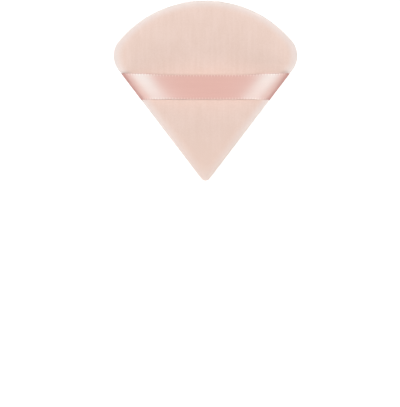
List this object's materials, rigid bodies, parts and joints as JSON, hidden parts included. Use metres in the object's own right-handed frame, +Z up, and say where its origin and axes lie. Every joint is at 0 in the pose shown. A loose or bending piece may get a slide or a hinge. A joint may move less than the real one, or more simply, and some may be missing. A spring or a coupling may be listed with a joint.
{
  "type": "powder puff",
  "caption": "Triangular velour make-up puff with a foam core, a turned seam round its edge and a satin ribbon arched over its front for the fingers.",
  "frame": {"origin": "middle of the outline's box, on the flat that the back panel rests on", "axes": "+Z up out of the front panel towards the ribbon's arch; +Y from the tip to the bowed edge; +X along the ribbon"},
  "size_m": [0.0798, 0.0786, 0.0159],
  "materials": {
    "velour": "short, soft, matt pile, pale warm pink",
    "foam": "open-cell polyurethane foam, cream, sealed inside the covers",
    "satin": "woven satin ribbon with fine selvedges, deeper pink, glossy along its length",
    "thread": "polyester sewing thread, pink"
  },
  "bodies": {
    "root": {"front_cover": "velour", "back_cover": "velour", "foam_core": "foam", "grip_ribbon": "satin", "seam_thread": "thread"}
  },
  "joints": []
}
